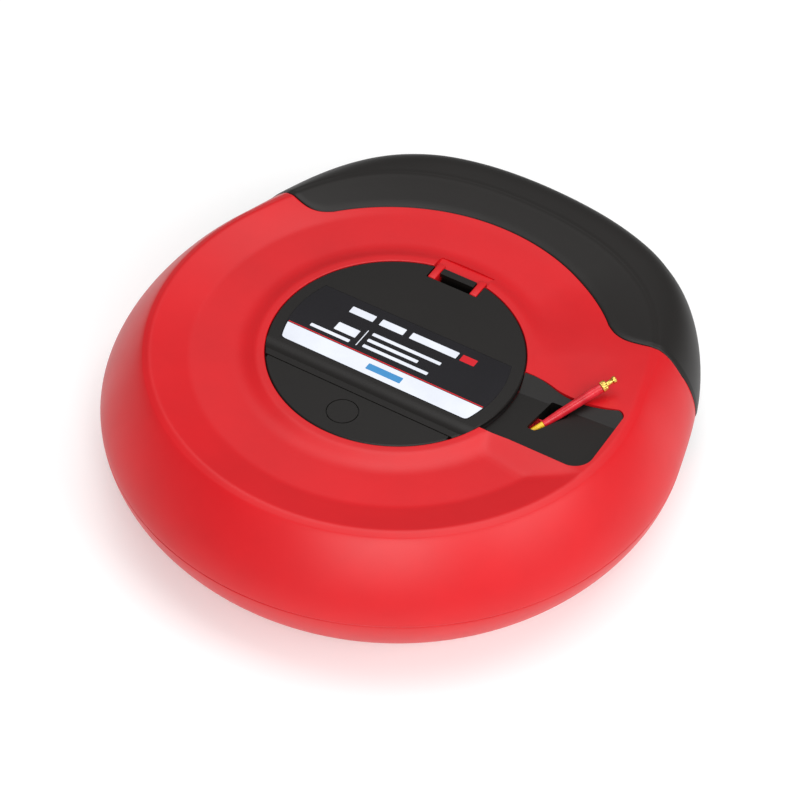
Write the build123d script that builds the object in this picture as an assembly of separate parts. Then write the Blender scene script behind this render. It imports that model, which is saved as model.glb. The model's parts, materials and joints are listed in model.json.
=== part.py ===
"""Fish tape reel: a closed round casing holding 30 m of 3 mm glass-fibre rod in a turning basket.

Frame: +Z is up along the reel's axis, z = 0 is the face it stands on, +Y points to the grip and
+X to the rod outlet. Millimetres throughout.
"""

import os
from math import atan2, cos, degrees, hypot, pi, radians, sin, sqrt, tan

from build123d import *

# Casing
LID_Z = 72.0  # top of the lid and of the collar round it
PARTING_Z = 39.0  # where the two shells meet
BODY_R = 142.95  # casing radius at the parting line
BASE_R = 111.7  # radius of the flat standing face
WALL = 2.6
BULGE = 12.8  # how much further out the casing reaches at the grip's shoulders
BULGE_AT = 86.3  # angle of the bulge's middle
BULGE_HALF, BULGE_FLAT = 73.2, 32.5  # angles from its middle where the bulge starts and where it is full
BULGE_DIP, BULGE_DIP_HALF = 3.5, 30.0  # the grip's middle is flatter, for the palm
BLEND_HALF, BLEND_FLAT = 76.2, 22.7  # where the section starts to change to the grip's, and where it has
LOFT_START, LOFT_END = 8.0, 172.0  # stretch of the casing that isn't round
FIT_GAP = 0.3  # gap between neighbouring mouldings

# Top surface, from the collar outwards
COLLAR_IN, COLLAR_OUT = 62.8, 67.0
VALLEY_IN, VALLEY_IN_Z = 74.4, 69.2
VALLEY_OUT, VALLEY_OUT_Z = 98.9, 70.3
CREST_IN, CREST_IN_Z = 117.4, 75.9
CREST_OUT, CREST_OUT_Z = 120.1, 74.8
BRIDGE_SLOPE = (CREST_IN_Z - LID_Z) / (CREST_IN - COLLAR_OUT)
SKIRT_OUT, SKIRT_LOW = 65.4, 58.0
LEDGE_IN, LEDGE_LOW, LEDGE_TOP = 59.5, 64.6, 67.0

# Grip
GRIP_INNER_R = 104.6
GRIP_UNDER_R = 126.0
GRIP_END_Y = 66.4
GRIP_TOP_Z = 72.2
POCKET_IN, POCKET_LOW, POCKET_TOP = 134.0, 41.0, 67.5
POCKET_HALF = 37.6  # angle from +Y to the end of the finger pocket
POCKET_WALL = 2.2

# Lid
LID_R, LID_T = 62.5, 2.4
HINGE_Y, HINGE_GAP = -36.0, 1.0
FILM_LOW, FILM_TOP = 70.9, 71.7
NOTCH_X, NOTCH_Y = 14.3, 52.2
LUG_IN, LUG_OUT, LUG_Y = 9.7, 13.9, 52.6
LATCH_X = 9.3
LABEL_R, LABEL_LOW, LABEL_HIGH, LABEL_T = 56.0, -22.0, 20.0, 0.2
CAP_R, CAP_Y, CAP_T = 7.35, -48.0, 1.2

# Accessory tray
TRAY_R, TRAY_T, TRAY_LOW = 57.6, 1.8, 22.0
FLANGE_R, FLANGE_TOP = 62.3, 69.3

# Outlet arm, in a frame tilted with the bridge surface: u outwards, v along +Y, w up
ARM_LOW_V, ARM_END_U, ARM_HIGH_V = -22.3, 47.2, 20.0
ARM_SPREAD = 1.7  # the lower edge runs outwards by this much
PLATE_TOP_W, PLATE_T = -2.8, 2.0
RAMP_V, RAMP_SLOPE = 9.5, 0.27
SEAT_T, SEAT_WIDTH = 2.0, 3.0

# Slot in the plate, in plan, and the floor of the chute under it
SLOT_LEFT_X, SLOT_RIGHT_X, SLOT_NEAR_Y, SLOT_FAR_Y = 76.6, 90.2, -9.3, 11.0
CHUTE_LOW = 61.0

# Rod
ROD_D = 3.0
ROD_AT = Vector(78.4, -8.3, 66.4)  # where the rod's axis passes under the slot's near end
ROD_RISE, ROD_LEAN = 20.0, 32.0  # degrees above level, and from +Y towards +X
SLEEVE_FROM, COLLAR_FROM, TIP_AT = 7.4, 39.4, 47.6  # along the rod from ROD_AT
GUIDE_FROM, GUIDE_TO = -28.0, -5.5
GUIDE_BORE, GUIDE_R = 3.1, 3.0
LEAD_CORNER, LEAD_BEND = -120.0, 70.0
LEAD_END = Vector(-45.7, -96.8, 15.0)

# Reel
HUB_IN, HUB_OUT, HUB_LOW, HUB_TOP = 60.06, 62.6, 5.0, 17.0
BASKET_R, BASKET_WALL, BASKET_FLOOR, BASKET_TOP = 128.5, 2.5, 2.0, 39.0
BASKET_BEVEL = 11.0  # the basket's lower corner follows the casing
COVER_IN, COVER_T = 109.0, 1.6
TURN_PITCH, TURN_ROWS, TURN_COLUMNS = 2.96, 10, 5
BOSS_IN, BOSS_OUT, BOSS_TOP = 52.0, 57.0, 17.2
FLOOR_T = 2.5

# Fasteners
CASING_SCREW_AT = 134.5
CASING_SCREW_ANGLES = (12, 168, 205, 240, 275, 310, 345)
GRIP_SCREW_AT = 143.0
GRIP_SCREW_ANGLES = (66, 90, 114)

TALL = 200.0  # longer than any piece, for cutters


def smooth(t):
    """Eases from 0 to 1 with no slope at either end."""
    t = min(max(t, 0.0), 1.0)
    return t * t * (3 - 2 * t)


def mix(a, b, share):
    return a + (b - a) * share


def polar(radius, angle, z=0.0):
    return Vector(radius * cos(radians(angle)), radius * sin(radians(angle)), z)


def from_bulge(angle):
    return abs((angle - BULGE_AT + 180) % 360 - 180)


def reach_at(angle):
    """How far the casing stands out beyond its round part at this angle."""
    off = from_bulge(angle)
    full = smooth((BULGE_HALF - off) / (BULGE_HALF - BULGE_FLAT))
    return BULGE * full - BULGE_DIP * smooth(1 - off / BULGE_DIP_HALF)


def blend_at(angle):
    """How far the section has changed to the grip's: 0 where the casing is round, 1 behind the grip."""
    return smooth((BLEND_HALF - from_bulge(angle)) / (BLEND_HALF - BLEND_FLAT))


def bridge_at(angle):
    """How far the valley is filled up to the bridge between collar and crest."""
    return smooth((62 - angle) / 34) if 0 < angle < 90 else 0.0


def radial_plane(angle):
    """Local x is the radius and local y is height."""
    out = polar(1, angle)
    return Plane(origin=(0, 0, 0), x_dir=out, z_dir=(out.Y, -out.X, 0))


def bridge_z(radius):
    return LID_Z + (radius - COLLAR_OUT) * BRIDGE_SLOPE


def top_points(angle):
    """Outer and inner outline points of the top shell's section at this angle."""
    full, bridge = blend_at(angle), bridge_at(angle)
    shift = 0.8 * reach_at(angle)
    radius = BODY_R + reach_at(angle)
    outer = [
        (COLLAR_OUT, LID_Z),
        (VALLEY_IN, mix(VALLEY_IN_Z, bridge_z(VALLEY_IN), bridge)),
        (VALLEY_OUT, mix(VALLEY_OUT_Z, bridge_z(VALLEY_OUT), bridge)),
        (CREST_IN + shift, mix(CREST_IN_Z, GRIP_TOP_Z, full)),
        (CREST_OUT + shift, mix(CREST_OUT_Z, GRIP_TOP_Z - 0.1, full)),
    ]
    crest_r, crest_z = outer[-1]
    dome = [
        (crest_r, crest_z),
        (crest_r + mix(2.5, 13.7, full), crest_z - mix(0.12, 0.6, full)),
        (radius, PARTING_Z + mix(10.8, 37.7, full)),
        (radius, PARTING_Z),
    ]
    return outer, dome


def inset_dome(dome, depth):
    """The dome curve moved into the material by depth."""
    (r0, z0), (r1, z1), (r2, z2), (r3, z3) = dome
    return [(r0 - 0.5 * depth, z0 - depth), (r1 - 0.3 * depth, z1 - depth), (r2 - depth, z2 - 0.3 * depth), (r3 - depth, z3)]


def section(plane, points_and_curves):
    """A closed wire in a radial plane: each entry is a point to draw a line to, or a Bezier's control points."""
    edges, at = [], points_and_curves[0]
    for item in points_and_curves[1:]:
        if isinstance(item, list):
            edges.append(Bezier(*[plane.from_local_coords((r, z)) for r, z in item]))
            at = item[-1]
        else:
            edges.append(Line(plane.from_local_coords(at), plane.from_local_coords(item)))
            at = item
    return Wire([e for edge in edges for e in edge.edges()])


def top_section(angle):
    outer, dome = top_points(angle)
    inner = inset_dome(dome, WALL)
    under = [(r, z - WALL) for r, z in outer[1:4]]
    path = [(COLLAR_IN, LID_Z), *outer, dome, inner[-1], inner[::-1], (under[2][0] - 0.4, under[2][1]), under[1], under[0]]
    path += [(SKIRT_OUT, VALLEY_IN_Z - WALL), (SKIRT_OUT, SKIRT_LOW), (COLLAR_IN, SKIRT_LOW), (COLLAR_IN, LID_Z)]
    return section(radial_plane(angle), path)


def bottom_curve(angle):
    full = blend_at(angle)
    radius = BODY_R + reach_at(angle)
    foot = BASE_R + 6 * full
    return [(radius, PARTING_Z), (radius, PARTING_Z - 14.56 - 4 * full), (foot + 12.89 + 3 * full, 0), (foot, 0)]


def inset_bottom(curve, depth):
    (r0, z0), (r1, z1), (r2, z2), (r3, z3) = curve
    return [(r0 - depth, z0), (r1 - depth, z1 + 0.3 * depth), (r2 - 0.3 * depth, z2 + depth), (r3 - 0.5 * depth, z3 + depth)]


RIM_IN = 90.0  # where the bottom shell's section joins its flat floor


def bottom_section(angle):
    curve = bottom_curve(angle)
    inner = inset_bottom(curve, WALL)
    path = [(RIM_IN, 0), (RIM_IN, inner[-1][1]), inner[-1], inner[::-1], curve[0], curve, (RIM_IN, 0)]
    return section(radial_plane(angle), path)


def grip_fill_section(angle):
    """The space under the top shell's outer face, for trimming what lies behind the grip."""
    _, dome = top_points(angle)
    skin = inset_dome(dome, 0.5 * WALL)
    path = [(110, PARTING_Z - 2), (110, skin[0][1]), skin[0], skin, (skin[-1][0], PARTING_Z - 2), (110, PARTING_Z - 2)]
    return section(radial_plane(angle), path)


LOFT_ANGLES = (8, 13, 19, 26, 33, 40, 48, 56, 66, 78, 90, 102, 114, 124, 132, 140, 147, 154, 161, 167, 172)


def ring(section_at, region, extra=None, cutters=()):
    """A ring of the casing without the grip's region: turned where it is round, lofted round the grip."""
    turned = Part() + revolve(Face(section_at(LOFT_END)), axis=Axis.Z, revolution_arc=360 - (LOFT_END - LOFT_START))
    lofted = (Part() + Solid.make_loft([section_at(angle) for angle in LOFT_ANGLES])) - region
    for cutter in cutters:
        turned -= cutter
        lofted -= cutter
        extra -= cutter
    return turned + extra + lofted if extra else turned + lofted


def sector(r_in, r_out, z_low, z_high, start, end):
    """A block between two radii, two heights and two angles."""
    plane = radial_plane(start)
    corners = [(r_in, z_low), (r_out, z_low), (r_out, z_high), (r_in, z_high), (r_in, z_low)]
    return revolve(Face(section(plane, corners)), axis=Axis.Z, revolution_arc=end - start)


def tube(r_in, r_out, z_low, z_high):
    height = z_high - z_low
    body = Cylinder(r_out, height) - Cylinder(r_in, height)
    return Pos(0, 0, (z_low + z_high) / 2) * body


def block(x, y, z):
    """A box from three (low, high) pairs."""
    size = [b - a for a, b in (x, y, z)]
    centre = [(a + b) / 2 for a, b in (x, y, z)]
    return Pos(*centre) * Box(*size)


def rod_point(along):
    """A point on the straight stretch of the rod's axis."""
    return ROD_AT + ROD_DIR * along


ROD_DIR = Vector(
    sin(radians(ROD_LEAN)) * cos(radians(ROD_RISE)),
    cos(radians(ROD_LEAN)) * cos(radians(ROD_RISE)),
    sin(radians(ROD_RISE)),
)


def on_rod(along):
    """A plane square to the rod, its normal along the rod."""
    return Plane(origin=rod_point(along), z_dir=ROD_DIR)


def rod_piece(sizes):
    """A turned piece on the rod's axis, from (distance along, radius) pairs."""
    points = [(0.0, sizes[0][0]), *[(radius, along) for along, radius in sizes], (0.0, sizes[-1][0])]
    profile = Polyline(*points, close=True)
    turned = revolve(make_face(profile), axis=Axis.Y)
    upright = Rot(90, 0, 0) * turned
    return on_rod(0).location * upright


# Arm frame: its origin is on the collar's outer edge, its x runs up the bridge surface.
ARM_TILT = degrees(atan2(BRIDGE_SLOPE, 1))
ARM = Plane(origin=(COLLAR_OUT, 0, LID_Z), x_dir=(cos(radians(ARM_TILT)), 0, sin(radians(ARM_TILT))), z_dir=(-sin(radians(ARM_TILT)), 0, cos(radians(ARM_TILT))))


def arm_outline(grow=0.0):
    """The outlet plate's outline in the arm frame, moved outwards by grow."""
    low, end, high = ARM_LOW_V - grow, ARM_END_U + grow, ARM_HIGH_V + grow
    outline = Polyline((-12, high + 0.3), (-12, low), (8, low), (end - 9, low - ARM_SPREAD))
    outline += ThreePointArc((end - 9, low - ARM_SPREAD), (end - 2.4, low + 1.2), (end, low + 8))
    outline += Line((end, low + 8), (end, high - 5.6))
    outline += ThreePointArc((end, high - 5.6), (end - 1.3, high - 2.6), (end - 4.4, high - 1.2))
    outline += Spline((end - 4.4, high - 1.2), (36, high - 3.2), (26, high - 4.6), (14, high - 3.6), (5, high - 1.0), (-3, high + 0.3))
    outline += Line((-3, high + 0.3), (-12, high + 0.3))
    return make_face(outline)


def arm_prism(w_low, w_high, grow=0.0):
    return ARM.location * (Pos(0, 0, w_low) * extrude(arm_outline(grow), w_high - w_low))


def slot_outline(grow=0.0):
    """The rod's way out of the plate, in plan: its near end is cut square to +Y."""
    near, far = SLOT_NEAR_Y - grow, SLOT_FAR_Y + grow
    left, right = SLOT_LEFT_X - grow, SLOT_RIGHT_X + grow
    return make_face(Polyline((left, near), (81.4 + grow, near), (right, far - 5.5), (right, far), (left + 2.6, far), close=True))


def slot_cutter():
    return Pos(0, 0, 55) * extrude(fillet(slot_outline().vertices(), 1.2), 30)


def make_chute():
    """A closed box under the slot, so that nothing falls into the reel, with a hole for the rod."""
    box = extrude(slot_outline(1.2), 12) - Pos(0, 0, 1.2) * extrude(fillet(slot_outline().vertices(), 1.2), 12)
    under_plate = ARM.location * block((-20, 60), (-60, 40), (-60, PLATE_TOP_W - PLATE_T + 0.3))
    box = (Pos(0, 0, CHUTE_LOW) * box) & under_plate
    return box - rod_piece([(-14, 1.9), (20, 1.9)])


def grip_region(gap, inner_r):
    """Plan of the grip, drawn in by gap, as a tall prism."""
    end_y = GRIP_END_Y + gap
    radius = inner_r + gap
    if inner_r > 120:
        end_x = sqrt(radius**2 - end_y**2)
        outline = Polyline((end_x, end_y), (TALL, end_y), (TALL, TALL), (-TALL, TALL), (-TALL, end_y), (-end_x, end_y))
        outline += ThreePointArc((-end_x, end_y), (0, radius), (end_x, end_y))
        return Pos(0, 0, -5) * extrude(make_face(outline), TALL)
    start = degrees(atan2(68.6, 78.9))
    right = polar(radius, start)
    left = Vector(-right.X, right.Y)
    lip = [(right.X, right.Y), (84.2, 64.9 + gap), (90.5, 63.2 + gap), (98.5, 64.2 + gap), (107.0, end_y)]
    outline = Spline(*lip)
    outline += Polyline((107.0, end_y), (TALL, end_y), (TALL, TALL), (-TALL, TALL), (-TALL, end_y), (-107.0, end_y))
    outline += Spline(*[(-x, y) for x, y in lip[::-1]])
    outline += ThreePointArc((left.X, left.Y), (0, radius), (right.X, right.Y))
    return Pos(0, 0, -5) * extrude(make_face(outline), TALL)


def pocket(grow):
    """The finger pocket in the grip's outer wall, grown by grow on every side."""
    low, top, half = POCKET_LOW - grow, POCKET_TOP + grow, (POCKET_TOP - POCKET_LOW) / 2
    end = POCKET_HALF - degrees(half / BODY_R)
    body = sector(POCKET_IN - grow, TALL, low, top, 90 - end, 90 + end)
    for side in (-1, 1):
        centre = polar(1, 90 + side * end)
        tip = Plane(origin=centre * (POCKET_IN - grow) + Vector(0, 0, (low + top) / 2), z_dir=centre)
        body += extrude(tip * Circle(half + grow), TALL - POCKET_IN)
    return body


def screw(head_r, head_h, shank_r, length, pitch_grooves=True):
    """A pan-head screw pointing down from z = 0, its head above, with a cross recess."""
    body = Pos(0, 0, head_h / 2) * Cylinder(head_r, head_h)
    body += Pos(0, 0, -length / 2) * Cylinder(shank_r, length)
    recess = Box(1.2 * head_r, 0.3 * head_r, head_h) + Box(0.3 * head_r, 1.2 * head_r, head_h)
    return body - Pos(0, 0, head_h) * recess


def export(shape, name):
    solids = shape.solids()
    export_step(solids[0] if len(solids) == 1 else Compound(children=list(solids)), f"parts/{name}.step")


def make_bridge():
    """The filled stretch between collar and crest beside the outlet arm, sloping away on its -Y side."""
    corners = [(SKIRT_OUT - 1, 66), (SKIRT_OUT - 1, LID_Z), (COLLAR_OUT, LID_Z), (CREST_IN, CREST_IN_Z), (CREST_IN, 71), (SKIRT_OUT - 1, 66)]
    body = revolve(Face(section(radial_plane(-45), corners)), axis=Axis.Z, revolution_arc=45 + LOFT_START)
    slope = Plane(origin=(COLLAR_OUT, -23, LID_Z + 0.1), z_dir=Vector(-0.0985, -0.3067, 1).normalized())
    return body - slope.location * (Pos(0, 0, 50) * Box(2 * TALL, 2 * TALL, 100))


def filled_ring(curve_at, z_low, z_high):
    """Everything inside a turned shell's mid-surface, for trimming screw bosses."""
    curve = curve_at
    start, end = curve[0], curve[-1]
    path = [(20, start[1]), start, curve, (20, end[1]), (20, start[1])]
    return revolve(Face(section(radial_plane(0), path)), axis=Axis.Z)


def make_top_shell(region):
    opening = arm_prism(PLATE_TOP_W - PLATE_T, 12, FIT_GAP)
    window = arm_prism(-14, 0, -SEAT_WIDTH) - Cylinder(SKIRT_OUT + 0.6, 2 * TALL)
    shell = ring(top_section, region, make_bridge(), (opening, window))
    seat = arm_prism(PLATE_TOP_W - PLATE_T - SEAT_T, PLATE_TOP_W - PLATE_T, 2.0) - window
    shell += seat - Cylinder(SKIRT_OUT - 0.8, 2 * TALL)
    shell += tube(LEDGE_IN, COLLAR_IN + 0.5, LEDGE_LOW, LEDGE_TOP) - block((58, 70), (-24, 23), (LEDGE_LOW + 1, 80))
    # Latch: a flat pocket through the collar, two lugs beside the tongue, and a gap in the ledge
    shell -= block((-15, 15), (60, 69.5), (LID_Z - 2, TALL))
    shell -= block((-LUG_OUT, LUG_OUT), (40, 62), (0, LEDGE_TOP + 0.1))
    for side in (-1, 1):
        x = sorted((side * LUG_IN, side * LUG_OUT))
        shell += block(x, (LUG_Y, 64.2), (LEDGE_LOW, LID_Z))
    _, dome = top_points(0)
    room = filled_ring(inset_dome(dome, 0.5 * WALL), PARTING_Z, CREST_OUT_Z)
    for angle in CASING_SCREW_ANGLES:
        at = polar(CASING_SCREW_AT, angle, PARTING_Z)
        shell += (Pos(*at) * Pos(0, 0, 10) * Cylinder(3.6, 20)) & room
        shell -= Pos(*at) * Pos(0, 0, 5) * Cylinder(1.55, 11)
    return shell


def make_bottom_shell(region):
    shell = ring(bottom_section, region)
    shell += Pos(0, 0, FLOOR_T / 2) * Cylinder(RIM_IN + 0.5, FLOOR_T)
    shell += tube(BOSS_IN, BOSS_OUT, FLOOR_T - 0.5, BOSS_TOP)
    shell -= tube(0, 94, -1, 0.8)
    shell += tube(0, 20, 0.4, 1.0)
    room = filled_ring(inset_bottom(bottom_curve(0), 0.5 * WALL), 0, PARTING_Z)
    for angle in CASING_SCREW_ANGLES:
        at = polar(CASING_SCREW_AT, angle)
        shell += (Pos(*at) * Pos(0, 0, PARTING_Z / 2) * Cylinder(4.6, PARTING_Z - 0.1)) & room
        shell -= Pos(*at) * Pos(0, 0, 12.5) * Cylinder(3.5, 27)
        shell -= Pos(*at) * Pos(0, 0, 30) * Cylinder(1.8, 30)
    for angle in (45, 135, 225, 315):
        shell -= Pos(*polar(54.5, angle, BOSS_TOP)) * Cylinder(1.2, 16)
    return shell


def make_grip():
    """Upper and lower halves of the grip, with the finger pocket in the upper one."""
    upper_region = grip_region(FIT_GAP, GRIP_INNER_R)
    lower_region = grip_region(FIT_GAP, GRIP_UNDER_R)
    angles = [a for a in LOFT_ANGLES if 20 < a < 160]
    upper = Solid.make_loft([top_section(angle) for angle in angles])
    upper = (Part() + upper) & upper_region
    fill = Part() + Solid.make_loft([grip_fill_section(angle) for angle in angles])
    liner = (pocket(POCKET_WALL) & fill) & upper_region
    upper = (upper + liner) - pocket(0)
    upper &= block((-TALL, TALL), (0, TALL), (PARTING_Z, TALL))
    lower = Part() + Solid.make_loft([bottom_section(angle) for angle in angles])
    lower &= lower_region
    for angle in GRIP_SCREW_ANGLES:
        at = polar(GRIP_SCREW_AT, angle)
        column = Pos(*at) * Pos(0, 0, 20) * Cylinder(4.2, PARTING_Z - 0.1)
        _, dome = top_points(angle)
        lower += column & lofted_room(angles)
        lower -= Pos(*at) * Pos(0, 0, 11) * Cylinder(3.5, 28)
        lower -= Pos(*at) * Cylinder(1.8, TALL)
        upper -= Pos(*at) * Pos(0, 0, PARTING_Z - 1) * Cylinder(1.3, 6.4)
    return upper, lower


def lofted_room(angles):
    """The space inside the lower grip's skin."""
    def room_section(angle):
        skin = inset_bottom(bottom_curve(angle), 0.5 * WALL)
        return section(radial_plane(angle), [(110, PARTING_Z), skin[0], skin, (110, skin[-1][1]), (110, PARTING_Z)])
    return Part() + Solid.make_loft([room_section(angle) for angle in angles])


def make_lid():
    """The flap and the fixed segment either side of the film hinge."""
    disc = Pos(0, 0, LID_Z - LID_T / 2) * Cylinder(LID_R, LID_T)
    disc = chamfer(disc.edges().filter_by(GeomType.CIRCLE).group_by(Axis.Z)[-1], 0.5)
    hinge_edge = HINGE_Y + HINGE_GAP
    flap = disc & block((-TALL, TALL), (hinge_edge, TALL), (0, TALL))
    flap -= block((-NOTCH_X, NOTCH_X), (NOTCH_Y, TALL), (0, TALL))
    channel_r, channel_depth = 8.5, 0.9
    flap -= Pos(0, -27.8, LID_Z + channel_r - channel_depth) * Rot(0, 90, 0) * Cylinder(channel_r, TALL)
    label = label_solid(0.0, LABEL_T)
    flap -= label_solid(0.1, LABEL_T + 0.1)
    flap += block((-LATCH_X - 3, LATCH_X + 3), (NOTCH_Y - 2.6, NOTCH_Y - 1.2), (60.4, LID_Z - 1))
    for x in (-30, 30):
        flap += block((x - 0.8, x + 0.8), (-30, 36), (LID_Z - LID_T - 2.0, LID_Z - 1.5))
    segment = disc & block((-TALL, TALL), (-TALL, HINGE_Y - HINGE_GAP), (0, TALL))
    segment += (Pos(0, CAP_Y, 68.2) * Cylinder(9, 2.9)) & Cylinder(TRAY_R - TRAY_T - FIT_GAP, 2 * TALL)
    segment -= Pos(0, CAP_Y, LID_Z) * Cylinder(CAP_R + 0.45, 2 * CAP_T)
    segment -= Pos(0, CAP_Y, LID_Z) * Cylinder(3.1, 6.4)
    segment -= Pos(0, CAP_Y, LID_Z) * Cylinder(1.6, 40)
    half = sqrt(LID_R**2 - HINGE_Y**2) - 1.2
    film = block((-half, half), (HINGE_Y - 0.75, HINGE_Y + 0.75), (FILM_LOW, FILM_TOP))
    return flap, segment, film, label


def label_solid(grow, thickness):
    """The label sheet: a disc cut off straight on two sides, just below the lid's face."""
    low, high = LABEL_LOW - grow, LABEL_HIGH + grow
    top = LID_Z - 0.05 if grow == 0 else LID_Z + 1
    bottom = LID_Z - 0.05 - LABEL_T
    disc = Pos(0, 0, (top + bottom) / 2) * Cylinder(LABEL_R + grow, top - bottom)
    return disc & block((-TALL, TALL), (low, high), (0, TALL))


def make_latch():
    """A U-shaped tongue with a finger bar on top, sprung against the flap."""
    low = 59.4
    tongue = block((-LATCH_X, LATCH_X), (59.0, 60.8), (low, LID_Z))
    tongue += block((-LATCH_X, LATCH_X), (57.5, 61.5), (LID_Z - 2.2, LID_Z))
    tongue += block((-LATCH_X, LATCH_X), (NOTCH_Y - 0.4, 60.8), (low, low + 1.4))
    tongue += block((-LATCH_X, LATCH_X), (NOTCH_Y - 0.4, NOTCH_Y + 0.9), (low, low + 4))
    tongue += block((-6, 6), (60.0, 61.6), (62.4, 63.8))
    return tongue


def make_tray():
    body = Pos(0, 0, (TRAY_LOW + FLANGE_TOP) / 2) * Cylinder(TRAY_R, FLANGE_TOP - TRAY_LOW)
    body -= Pos(0, 0, TRAY_LOW + TRAY_T + TALL / 2) * Cylinder(TRAY_R - TRAY_T, TALL)
    body += tube(TRAY_R - 0.5, FLANGE_R, LEDGE_TOP, FLANGE_TOP)
    body += Pos(0, CAP_Y, (TRAY_LOW + 66.7) / 2) * Cylinder(4.5, 66.7 - TRAY_LOW)
    body += block((-1, 1), (-TRAY_R + 1, CAP_Y), (TRAY_LOW + 1, 62))
    body -= Pos(0, CAP_Y, 66.7) * Cylinder(1.25, 24)
    body -= block((-NOTCH_X - 1, NOTCH_X + 1), (46, TALL), (57.5, TALL))
    return body


def make_plate():
    """Outlet plate with a ramped side, the rod's slot and four hooks under its seat."""
    profile = [
        (ARM_LOW_V - 5, PLATE_TOP_W - PLATE_T),
        (ARM_LOW_V - 5, PLATE_TOP_W),
        (RAMP_V, PLATE_TOP_W),
        (ARM_HIGH_V + 6, PLATE_TOP_W + (ARM_HIGH_V + 6 - RAMP_V) * RAMP_SLOPE),
        (ARM_HIGH_V + 6, PLATE_TOP_W - PLATE_T),
    ]
    bar = extrude(Plane.YZ * make_face(Polyline(*profile, close=True)), 60)
    plate = arm_prism(-10, 6) & (ARM.location * (Pos(-12, 0, 0) * bar))
    plate -= Cylinder(COLLAR_IN + 0.1, 2 * TALL)
    plate -= slot_cutter()
    plate += make_chute()
    low = PLATE_TOP_W - PLATE_T
    hook_low = low - SEAT_T - 1.6
    edge = SEAT_WIDTH + 0.3
    hooks = Part()
    for u, v, out in ((33, ARM_LOW_V + edge, -1), (33, ARM_HIGH_V - 5.0 - edge, 1), (8, ARM_HIGH_V - 3.8 - edge, 1)):
        inner = v - out * 1.6
        hooks += block((u - 3, u + 3), sorted((v, inner)), (hook_low, low + 0.5))
        hooks += block((u - 3, u + 3), sorted((v + out * 0.9, inner)), (hook_low, low - SEAT_T - 0.1))
    return plate + ARM.location * hooks


def make_guide():
    """A straight bore for the rod, on a pad under the outlet plate."""
    body = rod_piece([(GUIDE_FROM, GUIDE_R), (GUIDE_TO, GUIDE_R)])
    pad = ARM.location * block((1.5, 16), (-18.4, -11.4), (-11, PLATE_TOP_W - PLATE_T))
    under_plate = ARM.location * block((-20, 60), (-60, 40), (-60, PLATE_TOP_W - PLATE_T))
    body = (body + pad) & under_plate
    body -= tube(0, SKIRT_OUT + 0.2, 0, TALL)
    body -= rod_piece([(-60, GUIDE_BORE / 2), (10, GUIDE_BORE / 2)])
    return body - rod_piece([(GUIDE_FROM - 1, 2.6), (GUIDE_FROM + 3, GUIDE_BORE / 2)])


def make_lead():
    """The rod from beside the coil, round one large bend and straight out through the guide."""
    bend = FilletPolyline(rod_point(COLLAR_FROM), rod_point(LEAD_CORNER), LEAD_END, radius=LEAD_BEND)
    start = Plane(origin=rod_point(COLLAR_FROM), z_dir=ROD_DIR)
    return sweep(start * Circle(ROD_D / 2), path=bend)


def make_sleeve():
    """Heat-shrink sleeve, tapered at its lower end, round the rod."""
    outside = [(SLEEVE_FROM, 1.75), (SLEEVE_FROM + 9, 2.15), (COLLAR_FROM - 4, 2.4), (COLLAR_FROM, 2.3)]
    return rod_piece(outside) - rod_piece([(0, ROD_D / 2), (COLLAR_FROM, ROD_D / 2)])


def make_fitting():
    """Brass end: a knurled collar, a neck and the end flange that couplings slip over."""
    sizes = [
        (COLLAR_FROM, 2.25),
        (COLLAR_FROM + 0.4, 2.6),
        (COLLAR_FROM + 2.8, 2.6),
        (COLLAR_FROM + 3.2, 1.25),
        (TIP_AT - 2.0, 1.25),
        (TIP_AT - 1.6, 1.75),
        (TIP_AT - 0.3, 1.75),
        (TIP_AT, 1.45),
    ]
    return rod_piece(sizes)


def basket_profile(radius, low, top, inner):
    """Section of the basket's round space: floor, bevelled corner and wall."""
    return [(inner, low), (radius - BASKET_BEVEL, low), (radius, low + BASKET_BEVEL), (radius, top), (inner, top)]


def turned(points):
    """A ring turned about Z from (radius, z) points."""
    return revolve(Plane.XZ * make_face(Polyline(*points, close=True)), axis=Axis.Z)


def make_basket():
    """The turning basket: hub, floor with windows, and outer wall."""
    body = turned(basket_profile(BASKET_R, HUB_LOW, BASKET_TOP, HUB_IN))
    floor_top = HUB_LOW + BASKET_FLOOR
    wall_in = BASKET_R - BASKET_WALL
    body -= turned(basket_profile(wall_in, floor_top, BASKET_TOP + 1, HUB_OUT + 0.5))
    body -= tube(HUB_OUT, HUB_OUT + 1, floor_top, BASKET_TOP + 1)
    body -= tube(HUB_IN - 1, HUB_OUT + 0.1, HUB_TOP, BASKET_TOP + 1)
    for i in range(8):
        body -= sector(72, 104, 0, 12, 45 * i + 6, 45 * i + 39)
    _, fastener = make_anchor()
    return body - fastener


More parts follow.
